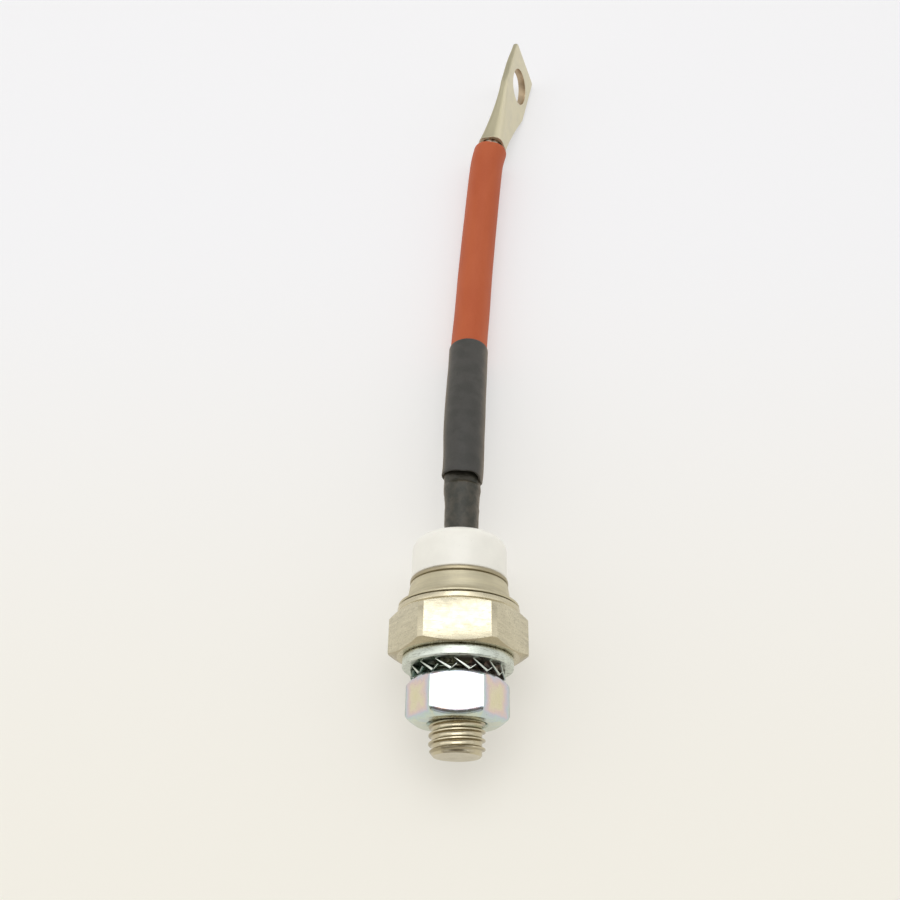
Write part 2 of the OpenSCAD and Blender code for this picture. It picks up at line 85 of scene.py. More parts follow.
def camera_axes():
    cos_e, sin_e = cos(CAMERA_ELEVATION), sin(CAMERA_ELEVATION)
    cos_h, sin_h = cos(CAMERA_HEADING), sin(CAMERA_HEADING)
    forward = Vector((sin_h * cos_e, cos_h * cos_e, -sin_e))
    level = Vector((cos_h, -sin_h, 0))
    upright = level.cross(forward)
    right = level * cos(CAMERA_ROLL) + upright * sin(CAMERA_ROLL)
    return right, right.cross(forward), forward


def add_camera():
    right, up, forward = camera_axes()
    lens = bpy.data.cameras.new("camera")
    lens.sensor_width = 36
    lens.lens = FOCAL_PX / PHOTO_PX * lens.sensor_width
    lens.clip_start = 0.01
    stand = Matrix.Translation((CAMERA_TARGET - forward * CAMERA_DISTANCE) * MM)
    camera = placed("camera", lens)
    camera.matrix_world = stand @ Matrix((right, up, -forward)).transposed().to_4x4()
    bpy.context.scene.camera = camera


# The lead's route, from the end of the crimp tube
ROUTE = [(0, 0, 0), (0.02, 3, 0), (0.5, 6.5, 0), (0.65, 12, -0.2), (0.65, 17, -0.7), (0.75, 22, -1.5),
         (0.9, 28, -2.8), (1.1, 34, -4.3), (1.3, 40, -5.7), (1.5, 46, -6.9), (1.8, 52, -7.7),
         (2.2, 58, -8.2), (2.6, 65, -8.5), (3, 72, -8.5), (3.5, 79, -8.5), (4, 86, -8.4),
         (4.55, 93, -8.2), (5.1, 100, -7.9), (5.7, 107, -7.6), (6.3, 113, -7.4), (7.05, 117.5, -7.4),
         (7.85, 119.9, -7.4), (8.5, 122.8, -7.4), (9.1, 125.7, -7.35)]
ROUTE_FROM = Vector((0, extent("crimp_tube")[1].y, 0))
ROPE_D = 6.3
# Places on the route, counted in its points
INNER_TO, OUTER_FROM, OUTER_TO, RED_FROM, RED_TO, LUG_MOUTH = 3.8, 1.7, 9, 5.5, 20, 21
LUG_HEADING, LUG_CLIMB, LUG_LEAN = (radians(a) for a in (-12, 1, -19.5))


def on_route(t):
    """Point of the smooth curve through the route, at place t counted in points."""
    i = min(int(t), len(ROUTE) - 2)
    u = t - i
    a, b, c, d = (Vector(ROUTE[max(0, min(len(ROUTE) - 1, i + k))]) for k in (-1, 0, 1, 2))
    return ROUTE_FROM + 0.5 * (2 * b + (c - a) * u + (2 * a - 5 * b + 4 * c - d) * u * u
                               + (3 * b - a - 3 * c + d) * u * u * u)


STEPS_PER_POINT = 8
LINE = [on_route(i / STEPS_PER_POINT) for i in range((len(ROUTE) - 1) * STEPS_PER_POINT + 1)]
RUN = [0.0]
for here, ahead in zip(LINE, LINE[1:]):
    RUN.append(RUN[-1] + (ahead - here).length)


def run_to(place):
    """Length of the lead from the crimp tube's end to a place counted in route points."""
    k = place * STEPS_PER_POINT
    i = min(int(k), len(RUN) - 2)
    return mix(RUN[i], RUN[i + 1], k - i)


def lead_frame(run):
    """Point, sideways direction and upward direction of the lead at that length."""
    if run <= 0:
        return ROUTE_FROM + Vector((0, run, 0)), Vector((1, 0, 0)), Vector((0, 0, 1))
    i = max(k for k in range(len(RUN) - 1) if RUN[k] <= run)
    point = LINE[i].lerp(LINE[i + 1], (run - RUN[i]) / (RUN[i + 1] - RUN[i]))
    ahead = (LINE[min(i + 2, len(LINE) - 1)] - LINE[max(i - 1, 0)]).normalized()
    side = ahead.cross(Vector((0, 0, 1))).normalized()
    return point, side, side.cross(ahead)


# The stud's thread, and how far its start is turned back down the stud
THREAD_CREST_R, THREAD_PITCH, THREAD_SETBACK = 5.93, 1.75, 0.2
THREAD_DEPTH = 0.4 * THREAD_PITCH
THREAD_ROOT_R = THREAD_CREST_R - THREAD_DEPTH


# Nodes of materials

class Tree:
    """Short names for the nodes that the materials and groups use."""

    def __init__(self, tree):
        self.tree = tree

    def node(self, kind, inputs=None, **settings):
        """Adds a node, with values or links for its inputs by name or number."""
        made = self.tree.nodes.new(kind)
        for name, value in settings.items():
            setattr(made, name, value)
        for name, value in (inputs or {}).items():
            socket = made.inputs[name]
            if isinstance(value, bpy.types.NodeSocket):
                self.tree.links.new(value, socket)
            else:
                socket.default_value = (*value, 1.0) if socket.type == "RGBA" else value
        return made

    def math(self, operation, a, b=0.0):
        return self.node("ShaderNodeMath", {0: a, 1: b}, operation=operation).outputs[0]

    def plus(self, a, b):
        return self.math("ADD", a, b)

    def minus(self, a, b):
        return self.math("SUBTRACT", a, b)

    def times(self, a, b):
        return self.math("MULTIPLY", a, b)

    def larger(self, a, b):
        return self.math("MAXIMUM", a, b)

    def scaled(self, vector, factors):
        return self.node("ShaderNodeVectorMath", {0: vector, 1: factors}, operation="MULTIPLY").outputs[0]

    def place(self):
        """Object coordinates in millimetres."""
        return self.scaled(self.node("ShaderNodeTexCoord").outputs["Object"], (1000, 1000, 1000))

    def split(self, vector):
        return self.node("ShaderNodeSeparateXYZ", {0: vector}).outputs

    def join(self, x, y, z):
        return self.node("ShaderNodeCombineXYZ", {0: x, 1: y, 2: z}).outputs[0]

    def radius(self, x, z):
        """Distance from the Y axis."""
        return self.math("SQRT", self.plus(self.times(x, x), self.times(z, z)))

    def noise(self, vector, scale, detail=2.0, roughness=0.5):
        return self.node("ShaderNodeTexNoise", {"Vector": vector, "Scale": scale, "Detail": detail,
                                                "Roughness": roughness}).outputs["Fac"]

    def remap(self, value, low, high, to_low=0.0, to_high=1.0):
        return self.node("ShaderNodeMapRange", {0: value, 1: low, 2: high, 3: to_low, 4: to_high},
                         interpolation_type="SMOOTHSTEP").outputs[0]

    def spread(self, noise_value, low, high):
        """The part of a noise's range that it mostly keeps to, spread from low to high."""
        return self.remap(noise_value, 0.3, 0.7, low, high)

    def blend(self, factor, a, b):
        return self.node("ShaderNodeMix", {0: factor, 6: a, 7: b}, data_type="RGBA").outputs[2]

    def tinted(self, colour, tone, low, high):
        """The colour, made darker or lighter where the tone is low or high."""
        shade = self.spread(tone, low, high)
        return self.scaled(colour, self.join(shade, shade, shade))

    def ramp(self, value, stops):
        made = self.node("ShaderNodeValToRGB", {0: value})
        elements = made.color_ramp.elements
        while len(elements) < len(stops):
            elements.new(1.0)
        for element, (position, colour) in zip(elements, stops):
            element.position = position
            element.color = (*colour, 1.0)
        return made.outputs[0]

    def group(self, tree, **inputs):
        values = {label.replace("_", " "): value for label, value in inputs.items()}
        return self.node("ShaderNodeGroup", values, node_tree=tree).outputs

    def bump(self, height, strength, distance_mm, **normal):
        """A bump; another bump that it lies on comes as Normal."""
        return self.node("ShaderNodeBump", {"Height": height, "Strength": strength,
                                            "Distance": distance_mm * MM, **normal}).outputs[0]


def make_group(name, inputs, outputs, build):
    """A shader node group with named inputs and outputs, built once."""
    group = bpy.data.node_groups.new(name, "ShaderNodeTree")
    for label, value in inputs.items():
        socket = group.interface.new_socket(label, in_out="INPUT", socket_type="NodeSocketFloat")
        socket.default_value = value
    for label in outputs:
        group.interface.new_socket(label, in_out="OUTPUT", socket_type="NodeSocketFloat")
    entry = group.nodes.new("NodeGroupInput")
    leave = group.nodes.new("NodeGroupOutput")
    for label, socket in build(Tree(group), entry.outputs).items():
        group.links.new(socket, leave.inputs[label])
    return group


def build_lathe_marks(t, given):
    """Fine rings round the Y axis, and the slow change of tone between them."""
    x, y, z = t.split(t.place())
    radius, turn = t.radius(x, z), t.math("ARCTAN2", z, x)
    fine, slow = (t.join(t.times(radius, rings), t.times(y, rings), t.times(turn, waver))
                  for rings, waver in ((given["Rings"], given["Waver"]), (0.9, 1.4)))
    return {"Height": t.noise(fine, 1.0, 4.0, 0.65), "Tone": t.noise(slow, 1.0, 3.0)}


def build_milled_marks(t, given):
    """Marks of a milling cutter across the axis, a little askew, and patches between them."""
    askew = t.node("ShaderNodeVectorRotate", {"Vector": t.place(), "Angle": 0.07},
                   rotation_type="Z_AXIS").outputs[0]
    marks = t.noise(t.scaled(askew, (0.07, 1, 0.07)), given["Marks"], 5.0, 0.7)
    patches = t.noise(t.scaled(askew, (0.25, 1, 0.25)), 1.1, 3.0)
    return {"Height": marks, "Tone": patches}


def build_blemishes(t, given):
    """Sparse pits or specks, and wide uneven patches."""
    place = t.place()
    cells = t.node("ShaderNodeTexVoronoi", {"Vector": place, "Scale": given["Per mm"]}).outputs["Distance"]
    chance = t.noise(place, 1.7)
    spots = t.times(t.remap(cells, 0.16, 0.06), t.remap(chance, 0.56, 0.64))
    return {"Spots": spots, "Patches": t.noise(place, given["Patch size"], 4.0, 0.6)}


def build_lead_skin(t, given):
    """Surface of a sleeve, from the attribute that holds its place along and round the lead."""
    lay = t.node("ShaderNodeAttribute", attribute_name="lay").outputs["Vector"]
    along, turn, _ = t.split(lay)
    around = t.math("COSINE", turn)
    circle = t.join(around, t.math("SINE", turn), t.times(along, given["Stretch"]))
    return {"Grain": t.noise(circle, given["Grain"], 5.0, 0.7), "Waves": t.noise(circle, given["Waves"], 3.0),
            "Side": around}


LATHE_MARKS = make_group("lathe marks", {"Rings": 9.0, "Waver": 1.2}, ["Height", "Tone"], build_lathe_marks)
MILLED_MARKS = make_group("milled marks", {"Marks": 3.0}, ["Height", "Tone"], build_milled_marks)
BLEMISHES = make_group("blemishes", {"Per mm": 1.5, "Patch size": 0.5}, ["Spots", "Patches"], build_blemishes)
LEAD_SKIN = make_group("lead skin", {"Stretch": 0.25, "Grain": 12.0, "Waves": 1.0},
                       ["Grain", "Waves", "Side"], build_lead_skin)


def new_material(name, build, **constants):
    """A material of one Principled shader: constants stay on its sockets, build gives the rest."""
    made = bpy.data.materials.new(name)
    made.use_nodes = True
    shader = made.node_tree.nodes["Principled BSDF"]
    for label, value in constants.items():
        shader.inputs[label.replace("_", " ")].default_value = value
    for label, socket in build(Tree(made.node_tree)).items():
        made.node_tree.links.new(socket, shader.inputs[label])
    return made


def darker(colour, factor):
    return tuple(c * factor for c in colour)


def turned_metal(name, colour, rings=9.0, rough=(0.22, 0.36), relief=0.35):
    def build(t):
        marks = t.group(LATHE_MARKS, Rings=rings)
        blemish = t.group(BLEMISHES, Patch_size=0.6)
        tone = t.times(t.plus(marks["Tone"], marks["Height"]), 0.5)
        return {"Base Color": t.blend(t.times(blemish["Spots"], 0.45), t.tinted(colour, tone, 0.82, 1.06),
                                      darker(colour, 0.4)),
                "Roughness": t.spread(blemish["Patches"], *rough),
                "Normal": t.bump(marks["Height"], relief, 0.02)}
    return new_material(name, build, Metallic=1.0)


def threaded_metal():
    """Nickel on the cut thread, with painted shade that darkens its flanks between the crests and the root.
    """
    def build(t):
        x, _, z = t.split(t.place())
        radius = t.radius(x, z)
        painted_flank_shade = t.times(t.remap(radius, THREAD_ROOT_R + 0.04, THREAD_ROOT_R + 0.2),
                        t.remap(radius, THREAD_CREST_R - 0.02, THREAD_CREST_R - 0.16))
        marks = t.group(LATHE_MARKS, Rings=3.0)
        blemish = t.group(BLEMISHES, Patch_size=0.6)
        # Pits, and painted shade on the flanks, darken the nickel towards a dark brown.
        darkening = t.larger(t.times(blemish["Spots"], 0.45), t.times(painted_flank_shade, 0.6))
        clean = t.tinted((0.58, 0.52, 0.375), marks["Tone"], 0.94, 1.03)
        return {"Base Color": t.blend(darkening, clean, (0.27, 0.225, 0.14)),
                "Roughness": t.spread(blemish["Patches"], 0.18, 0.27)}
    return new_material("nickel_thread", build, Metallic=1.0)


def milled_metal():
    """Nickel on the hexagon's flats, with the marks, streaks and scratches of the milling."""
    colour = (0.64, 0.59, 0.44)

    def build(t):
        marks = t.group(MILLED_MARKS, Marks=1.7)
        blemish = t.group(BLEMISHES, Patch_size=0.8)
        tone = t.times(t.plus(marks["Tone"], marks["Height"]), 0.5)
        streaks = t.remap(marks["Height"], 0.44, 0.35, 0.0, 0.35)
        scratches = t.remap(t.noise(t.scaled(t.place(), (0.7, 4.5, 1.2)), 1.0, 1.5), 0.6, 0.7, 0.0, 0.5)
        darkening = t.larger(t.times(blemish["Spots"], 0.5), t.larger(streaks, scratches))
        return {"Base Color": t.blend(darkening, t.tinted(colour, tone, 0.84, 1.06), darker(colour, 0.45)),
                "Roughness": t.spread(blemish["Patches"], 0.2, 0.34),
                "Normal": t.bump(marks["Height"], 0.5, 0.02)}
    return new_material("nickel_milled", build, Metallic=1.0)


def plated_sheet(name, colour, rough):
    """Zinc or tin on a stamped or pressed piece: soft patches, small dents and pits."""
    def build(t):
        blemish = t.group(BLEMISHES, Per_mm=1.4, Patch_size=0.5)
        return {"Base Color": t.blend(t.times(blemish["Spots"], 0.5),
                                      t.tinted(colour, blemish["Patches"], 0.86, 1.05), darker(colour, 0.5)),
                "Roughness": t.spread(blemish["Patches"], *rough),
                "Normal": t.bump(t.noise(t.place(), 0.8), 0.3, 0.06)}
    return new_material(name, build, Metallic=1.0)


ZINC_COLOUR, ZINC_ROUGH = (0.68, 0.73, 0.66), (0.24, 0.4)


def burred_zinc():
    """Zinc on the washer, torn into dark specks along the edge that the punch left."""
    edge = extent("plain_washer")[1].y

    def build(t):
        place = t.place()
        _, y, _ = t.split(place)
        blemish = t.group(BLEMISHES, Per_mm=1.4, Patch_size=0.5)
        torn = t.times(t.remap(y, edge - 0.75, edge - 0.15),
                       t.remap(t.noise(place, 2.4, 3.0, 0.7), 0.44, 0.56))
        drawn = t.remap(t.noise(t.scaled(place, (0.5, 3, 0.5)), 1.6), 0.56, 0.66, 0.0, 0.35)
        return {"Base Color": t.blend(t.larger(t.times(torn, 0.85), drawn),
                                      t.tinted(ZINC_COLOUR, blemish["Patches"], 0.86, 1.05),
                                      (0.14, 0.13, 0.1)),
                "Roughness": t.spread(blemish["Patches"], *ZINC_ROUGH),
                "Normal": t.bump(t.noise(place, 1.6, 3.0), 0.35, 0.06)}
    return new_material("zinc_burred", build, Metallic=1.0)


def passivated_teeth():
    """Thick passivation on the lock washer, which goes from green through olive to brown across it."""
    def build(t):
        place = t.place()
        x, _, _ = t.split(place)
        blemish = t.group(BLEMISHES, Per_mm=1.4, Patch_size=0.6)
        drift = t.times(t.minus(blemish["Patches"], 0.5), 6.0)
        colour = t.ramp(t.remap(t.plus(x, drift), -8, 8), [
            (0.0, (0.24, 0.33, 0.26)), (0.45, (0.5, 0.5, 0.39)), (0.75, (0.46, 0.36, 0.33)),
            (1.0, (0.4, 0.32, 0.27))])
        return {"Base Color": colour, "Roughness": t.spread(blemish["Patches"], 0.26, 0.42),
                "Normal": t.bump(t.noise(place, 0.8), 0.3, 0.06)}
    return new_material("zinc_dark", build, Metallic=1.0)


def pressed_tin():
    """Satin tin, with painted shade that darkens the lug's rounded pressed sides."""
    def build(t):
        blemish = t.group(BLEMISHES, Per_mm=1.0, Patch_size=0.3)
        side = t.node("ShaderNodeAttribute", attribute_name="side").outputs["Fac"]
        # The lug's rounded sides get a darker tin as painted shade.
        plate_with_painted_shade = t.blend(side, (0.76, 0.71, 0.54), (0.5, 0.465, 0.33))
        return {"Base Color": t.tinted(plate_with_painted_shade, blemish["Patches"], 0.94, 1.03),
                "Roughness": t.spread(blemish["Patches"], 0.5, 0.6),
                "Normal": t.bump(t.noise(t.place(), 0.5), 0.04, 0.06)}
    return new_material("tin", build, Metallic=1.0)


def iridescent_zinc():
    """Film colours that run inward from the edges of each side of the nut."""
    low, high = extent("hex_nut")
    middle, half_height = (low.y + high.y) / 2, (high.y - low.y) / 2
    sixth = pi / 3

    def build(t):
        place = t.place()
        x, y, z = t.split(place)
        turn = t.plus(t.math("ARCTAN2", x, z), sixth * 3.5)
        across = t.times(t.math("TANGENT", t.minus(t.math("MODULO", turn, sixth), sixth / 2)),
                         1 / tan(sixth / 2))
        along = t.math("DIVIDE", t.minus(y, middle), half_height)
        edge = t.larger(t.math("ABSOLUTE", across), t.math("ABSOLUTE", along))
        wobble = t.times(t.minus(t.noise(place, 0.22, 3.0, 0.6), 0.5), 0.9)
        film = t.plus(t.times(t.math("POWER", edge, 1.6), 0.75), t.plus(wobble, 0.1))
        film = t.plus(film, t.remap(y, low.y + 1.4, low.y + 0.7, 0.0, 0.16))
        colour = t.ramp(film, [
            (0.0, (0.74, 0.69, 0.46)), (0.28, (0.76, 0.7, 0.52)), (0.45, (0.75, 0.61, 0.57)),
            (0.6, (0.67, 0.6, 0.67)), (0.74, (0.57, 0.63, 0.71)), (0.9, (0.57, 0.68, 0.65)),
            (1.0, (0.64, 0.69, 0.59))])
        blemish = t.group(BLEMISHES, Per_mm=2.0, Patch_size=1.0)
        return {"Base Color": t.blend(t.times(blemish["Spots"], 0.3), colour, (0.35, 0.34, 0.33)),
                "Roughness": t.spread(blemish["Patches"], 0.16, 0.28),
                "Normal": t.bump(t.noise(place, 0.9, 3.0), 0.25, 0.08)}
    return new_material("iridescent_zinc", build, Metallic=1.0)


def glazed_ceramic():
    def build(t):
        blemish = t.group(BLEMISHES, Per_mm=0.9, Patch_size=0.25)
        body = t.tinted((0.925, 0.91, 0.835), blemish["Patches"], 0.98, 1.02)
        return {"Base Color": t.blend(t.times(blemish["Spots"], 0.35), body, (0.55, 0.5, 0.4)),
                "Roughness": t.spread(blemish["Patches"], 0.3, 0.42),
                "Normal": t.bump(t.noise(t.place(), 0.35), 0.15, 0.15)}
    return new_material("glazed_ceramic", build, Coat_Weight=0.45, Coat_Roughness=0.25)


def rubber_skin(name, colour, sheen, rough, waves, wave_relief, grain_relief):
    """Shrunk rubber, with a painted brown reflection along both of its sides."""
    def build(t):
        skin = t.group(LEAD_SKIN, Waves=waves)
        clean = t.blend(t.remap(skin["Waves"], 0.35, 0.65), colour, sheen)
        side = t.plus(skin["Side"], t.times(t.minus(skin["Waves"], 0.5), 0.35))
        # A painted brown reflection along both sides of the sleeve, mixed in by its place round the lead.
        painted_side_reflection = t.larger(t.remap(side, 0.68, 1.06, 0.0, 0.75), t.remap(side, -0.78, -1.08, 0.0, 0.5))
        return {"Base Color": t.blend(painted_side_reflection, clean, (0.118, 0.096, 0.069)),
                "Roughness": t.spread(skin["Grain"], *rough),
                "Normal": t.bump(skin["Grain"], grain_relief, 0.05,
                                 Normal=t.bump(skin["Waves"], wave_relief, 0.5))}
    return new_material(name, build, Sheen_Weight=0.35, Sheen_Roughness=0.35, Sheen_Tint=(0.75, 0.6, 0.4, 1))


def red_skin():
    def build(t):
        skin = t.group(LEAD_SKIN, Stretch=0.06, Grain=26.0, Waves=0.8)
        red = t.blend(t.spread(skin["Waves"], 0.0, 1.0), (0.45, 0.075, 0.012), (0.5, 0.098, 0.022))
        return {"Base Color": t.blend(t.remap(skin["Grain"], 0.4, 0.7, 0.0, 0.25), red, (0.57, 0.15, 0.055)),
                "Roughness": t.spread(skin["Grain"], 0.52, 0.66),
                "Normal": t.bump(skin["Grain"], 0.12, 0.06)}
    return new_material("red_sleeve", build)


def strand_metal():
    """Tinned copper, bare in places."""
    def build(t):
        place = t.place()
        bare = t.remap(t.noise(place, 1.2), 0.42, 0.6)
        return {"Base Color": t.blend(bare, (0.62, 0.6, 0.54), (0.62, 0.4, 0.25)),
                "Roughness": t.spread(t.noise(place, 3.0), 0.25, 0.45),
                "Normal": t.bump(t.noise(place, 4.0), 0.3, 0.05)}
    return new_material("tinned_strands", build, Metallic=1.0)


def plain_stuff(name, colour, rough, metallic):
    """Finish of a sealed inner piece."""
    def build(t):
        blemish = t.group(BLEMISHES, Patch_size=0.7)
        return {"Base Color": t.tinted(colour, blemish["Patches"], 0.85, 1.06),
                "Roughness": t.spread(blemish["Patches"], *rough)}
    return new_material(name, build, Metallic=metallic)


NICKEL_TURNED = turned_metal("nickel_turned", (0.66, 0.6, 0.44))
NICKEL_MILLED = milled_metal()
# The hex's lower chamfer: a darker turned nickel, as painted shade.
NICKEL_SHADED_CHAMFER = turned_metal("nickel_chamfer_painted_shade", (0.5, 0.44, 0.3), rings=6.0)
NICKEL_THREAD = threaded_metal()
RING_STEEL = turned_metal("ring_steel", (0.64, 0.585, 0.42), rings=12.0, rough=(0.4, 0.52), relief=0.3)
LIP_ALLOY = turned_metal("lip_alloy", (0.44, 0.385, 0.26), rings=7.0, rough=(0.3, 0.42))
FERRULE_ALLOY = turned_metal("ferrule_alloy", (0.6, 0.56, 0.46), rough=(0.28, 0.4))
ZINC = plated_sheet("zinc", ZINC_COLOUR, ZINC_ROUGH)
ZINC_BURRED = burred_zinc()
ZINC_DARK = passivated_teeth()
TIN = pressed_tin()
BORE_METAL = plated_sheet("bore_metal", (0.54, 0.42, 0.28), (0.34, 0.48))
NUT_ZINC = iridescent_zinc()
CERAMIC = glazed_ceramic()
BLACK_INNER = rubber_skin("black_inner", (0.03, 0.031, 0.022), (0.058, 0.052, 0.038), rough=(0.4, 0.56),
                          waves=2.2, wave_relief=0.5, grain_relief=0.25)
BLACK_OUTER = rubber_skin("black_outer", (0.038, 0.038, 0.033), (0.052, 0.05, 0.045), rough=(0.5, 0.64),
                          waves=1.2, wave_relief=0.12, grain_relief=0.2)
RED = red_skin()
STRANDS = strand_metal()


# Shapes

def face_outwards(bm):
    bmesh.ops.recalc_face_normals(bm, faces=bm.faces[:])


def fillet(corner, before, after, radius, steps=5):
    """Points of a round of that radius in an outline's corner, between its two neighbours."""
    corner, before, after = Vector(corner), Vector(before), Vector(after)
    u, v = (before - corner).normalized(), (after - corner).normalized()
    half = u.angle(v) / 2
    centre = corner + (u + v).normalized() * (radius / sin(half))
    start, end = (corner + way * (radius / tan(half)) - centre for way in (u, v))
    sweep = start.angle(end)
    return [centre + (start * sin((1 - i / steps) * sweep) + end * sin(i / steps * sweep))
            / sin(sweep) for i in range(steps + 1)]


def rounded(outline):
    """An outline of (height, radius, round) corners as points, each corner rounded by its last number."""
    points = []
    for i, (height, radius, round_r) in enumerate(outline):
        if round_r:
            before, after = outline[i - 1][:2], outline[(i + 1) % len(outline)][:2]
            points += fillet((height, radius), before, after, round_r)
        else:
            points.append((height, radius))
    return points


def turned(outline, steps=128):
    """A closed outline of (height on Y, radius, round) corners, turned round the Y axis."""
    bm = bmesh.new()
    rim = [bm.verts.new((radius, height, 0)) for height, radius in rounded(outline)]
    edges = [bm.edges.new((a, b)) for a, b in zip(rim, rim[1:] + rim[:1])
             if not (a.co.x < 1e-6 and b.co.x < 1e-6)]
    bmesh.ops.spin(bm, geom=rim + edges, cent=(0, 0, 0), axis=(0, 1, 0), angle=TURN, steps=steps,
                   use_merge=True)
    bmesh.ops.remove_doubles(bm, verts=bm.verts[:], dist=1e-4)
    face_outwards(bm)
    return bm


def as_object(name, bm, materials):
    """The finished shape as a new object in metres."""
    bmesh.ops.scale(bm, vec=(MM, MM, MM), verts=bm.verts[:])
    mesh = bpy.data.meshes.new(name)
    bm.to_mesh(mesh)
    bm.free()
    for material in materials:
        mesh.materials.append(material)
    return placed(name, mesh)


def ease_edges(made, width, angle, segments=2):
    """Bevels the edges sharper than that angle, and makes the piece's modifiers its mesh."""
    eased = made.modifiers.new("eased edges", "BEVEL")
    eased.width = width * MM
    eased.segments = segments
    eased.limit_method = "ANGLE"
    eased.angle_limit = radians(angle)
    bpy.context.view_layer.update()
    seen = made.evaluated_get(bpy.context.evaluated_depsgraph_get())
    shaped = bpy.data.meshes.new_from_object(seen)
    made.modifiers.clear()
    made.data = shaped


def shade(made, sharp_from):
    for face in made.data.polygons:
        face.use_smooth = True
    made.data.set_sharp_from_angle(angle=radians(sharp_from))


def piece(name, bm, materials, replaces=(), eased=(), sharp_from=30):
    """A finished piece, with its edges eased by a width and an angle, and its shading set."""
    made = as_object(name, bm, materials)
    if eased:
        ease_edges(made, *eased)
    shade(made, sharp_from)
    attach(made, "root")
    if replaces:
        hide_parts(*replaces)
    return made


def off_axis(vert):
    return hypot(vert.co.x, vert.co.z)


def keep_within(vert, limit):
    """Moves a vertex straight in to that distance from the axis, if it lies farther out."""
    radius = off_axis(vert)
    if radius > limit:
        vert.co.x *= limit / radius
        vert.co.z *= limit / radius


def cut_away(bm, point, out):
    """Cuts away what lies outside a plane, and gives the edges of the cut."""
    geometry = bm.verts[:] + bm.edges[:] + bm.faces[:]
    cut = bmesh.ops.bisect_plane(bm, geom=geometry, dist=1e-5, plane_co=point, plane_no=out,
                                 clear_outer=True)["geom_cut"]
    return [g for g in cut if isinstance(g, bmesh.types.BMEdge)]


def cut_flats(bm, apothem, material=0):
    """Mills six flats at that distance from the axis, one on top, with a material by its number."""
    for k in range(6):
        turn = k * TURN / 6
        out = Vector((sin(turn), 0, cos(turn)))
        for face in bmesh.ops.edgeloop_fill(bm, edges=cut_away(bm, out * apothem, out))["faces"]:
            face.material_index = material
    face_outwards(bm)


def add_base():
    high = extent("base_stud")[1]
    shoulder_top = extent("housing_ring")[0].y
    apothem, corner = high.z, high.x
    shoulder_r, face_r = apothem - 0.05, apothem - 0.3
    shoulder_h, slope = 1.4, tan(radians(24))
    hex_top = shoulder_top - shoulder_h
    cup_r, cup_top = 9.5, high.y
    groove_w, groove_d = 0.34, 0.16
    bm = turned([
        (0, 0, 0), (0, face_r, 0.15), ((corner - face_r) * slope, corner, 0.12),
        (hex_top - (corner - shoulder_r) * slope, corner, 0.12), (hex_top, shoulder_r, 0),
        (hex_top + groove_w / 2, shoulder_r - groove_d, 0), (hex_top + groove_w, shoulder_r, 0),
        (shoulder_top, shoulder_r, 0.12), (shoulder_top, cup_r, 0), (cup_top, cup_r, 0.2), (cup_top, 0, 0)])
    milled, shaded_chamfer = 1, 2
    cut_flats(bm, apothem, milled)
    # The hex's lower chamfer, which faces the washer, gets the darker nickel as painted shade.
    for face in bm.faces:
        if face.normal.y < -0.8 and face.calc_center_median().y > 0.01:
            face.material_index = shaded_chamfer
    piece("base_body", bm, [NICKEL_TURNED, NICKEL_MILLED, NICKEL_SHADED_CHAMFER], ["base_stud"],
          eased=(0.12, 14), sharp_from=40)


def thread_blank(low, high, steps=72):
    """A thread as one ridge's outline spun up the axis, cut square at both ends."""
    rise = [(0, -1), (0.11, -0.995), (0.2, -0.96), (0.26, -0.85), (0.315, -0.62), (0.39, -0.2),
            (0.415, -0.06), (0.44, 0)]
    ridge = rise + [(1 - part, dip) for part, dip in reversed(rise)]
    turns = ceil((high - low) / THREAD_PITCH) + 3
    start = low - 1.5 * THREAD_PITCH - THREAD_SETBACK
    bm = bmesh.new()
    outline = [bm.verts.new((THREAD_CREST_R + dip * THREAD_DEPTH, start + part * THREAD_PITCH, 0))
               for part, dip in ridge]
    edges = [bm.edges.new(pair) for pair in zip(outline, outline[1:])]
    bmesh.ops.spin(bm, geom=outline + edges, cent=(0, 0, 0), axis=(0, 1, 0),
                   dvec=(0, THREAD_PITCH / steps, 0), angle=TURN * turns, steps=steps * turns)
    bmesh.ops.remove_doubles(bm, verts=bm.verts[:], dist=0.003)
    for height, way in ((low, -1), (high, 1)):
        cut_away(bm, (0, height, 0), (0, way, 0))
    return bm


def add_stud():
    low = extent("base_stud")[0].y
    inside_base, chamfer, chamfer_slope = -1.0, 1.0, 0.85
    bm = thread_blank(low, inside_base)
    for vert in bm.verts:
        keep_within(vert, THREAD_CREST_R - chamfer + (vert.co.y - low) * chamfer_slope)
    bmesh.ops.holes_fill(bm, edges=[e for e in bm.edges if len(e.link_faces) == 1], sides=0)
    face_outwards(bm)
    piece("stud_thread", bm, [NICKEL_THREAD], sharp_from=35)


# Bore of the housing's steel band and of the lip on it
BAND_BORE_R = 9.7


def add_housing_ring():
    low, high = extent("housing_ring")
    rim_r, foot_r, neck_r, top_r = high.x, 12.1, 10.85, 10.6
    flange_low, flange_top = low.y + 0.3, low.y + 0.9
    bm = turned([
        (low.y, BAND_BORE_R, 0), (low.y, foot_r, 0), (flange_low, foot_r, 0.1), (flange_low, rim_r, 0.18),
        (flange_top, rim_r, 0.22), (flange_top + 0.12, foot_r + 0.1, 0.5), (flange_top + 1.0, 11.45, 1.2),
        (high.y - 0.35, neck_r, 0.15), (high.y, top_r, 0.1), (high.y, BAND_BORE_R, 0)])
    piece("housing_band", bm, [RING_STEEL], ["housing_ring"])


